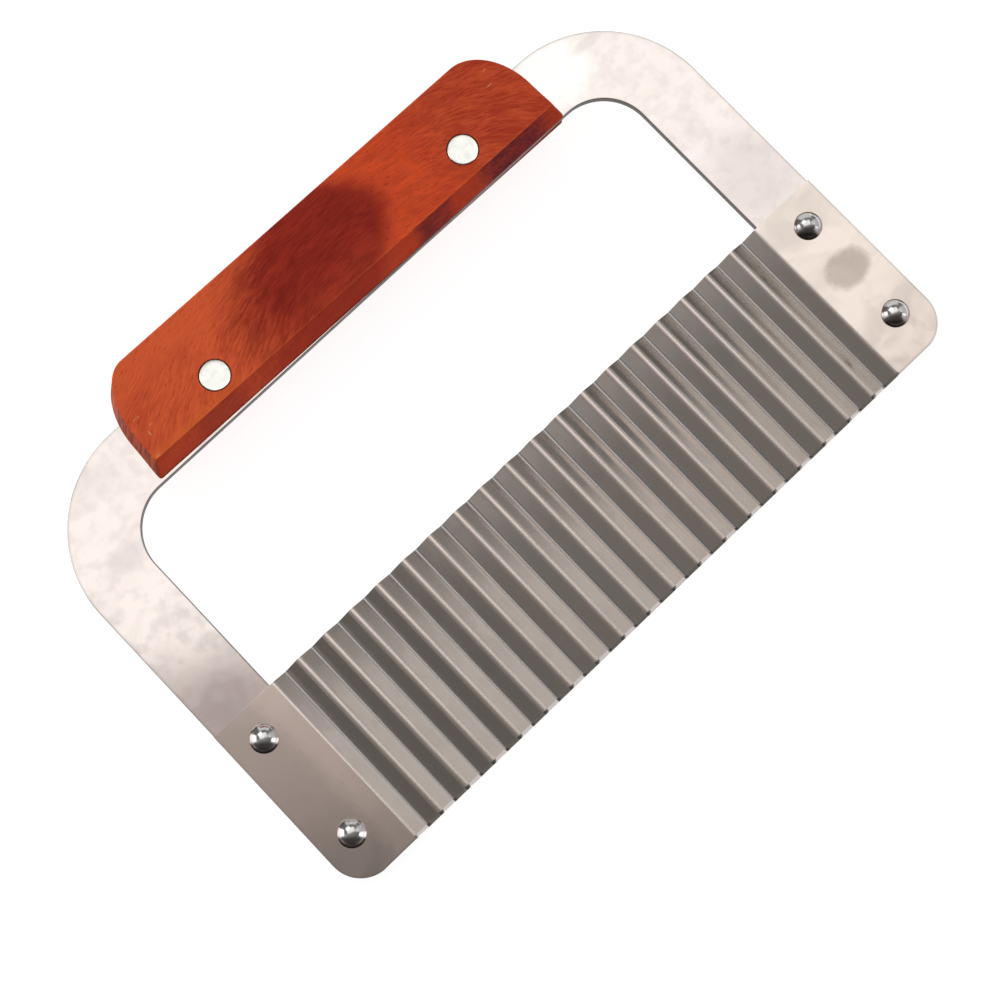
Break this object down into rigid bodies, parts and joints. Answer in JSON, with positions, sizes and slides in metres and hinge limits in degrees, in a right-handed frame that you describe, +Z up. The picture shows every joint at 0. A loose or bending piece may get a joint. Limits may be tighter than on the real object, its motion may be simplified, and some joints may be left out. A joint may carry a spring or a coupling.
{
  "type": "crinkle cutter",
  "caption": "Hand-held crinkle cutter: corrugated steel blade riveted across the arms of a U-shaped sheet steel frame, with a slotted wooden handle on its bar, for cutting wavy slices.",
  "frame": {"origin": "on the surface that the tool lies on, under the middle of its box", "axes": "+X along the blade, +Y from the cutting edge towards the handle, +Z up, out of the tool's front face as it lies on its back"},
  "size_m": [0.18, 0.1198, 0.0196],
  "materials": {
    "frame_steel": "satin, fine scratches",
    "blade_steel": "satin, rolled",
    "handle_wood": "red-brown, gloss varnish",
    "rivet_steel": "polished",
    "rivet_aluminium": "satin"
  },
  "bodies": {
    "root": {"frame": "frame_steel", "blade": "blade_steel", "handle": "handle_wood", "blade_rivet_left_upper": "rivet_steel", "blade_rivet_left_lower": "rivet_steel", "blade_rivet_right_upper": "rivet_steel", "blade_rivet_right_lower": "rivet_steel", "handle_rivet_left_front": "rivet_aluminium", "handle_rivet_left_rear": "rivet_aluminium", "handle_rivet_right_front": "rivet_aluminium", "handle_rivet_right_rear": "rivet_aluminium"}
  },
  "joints": []
}
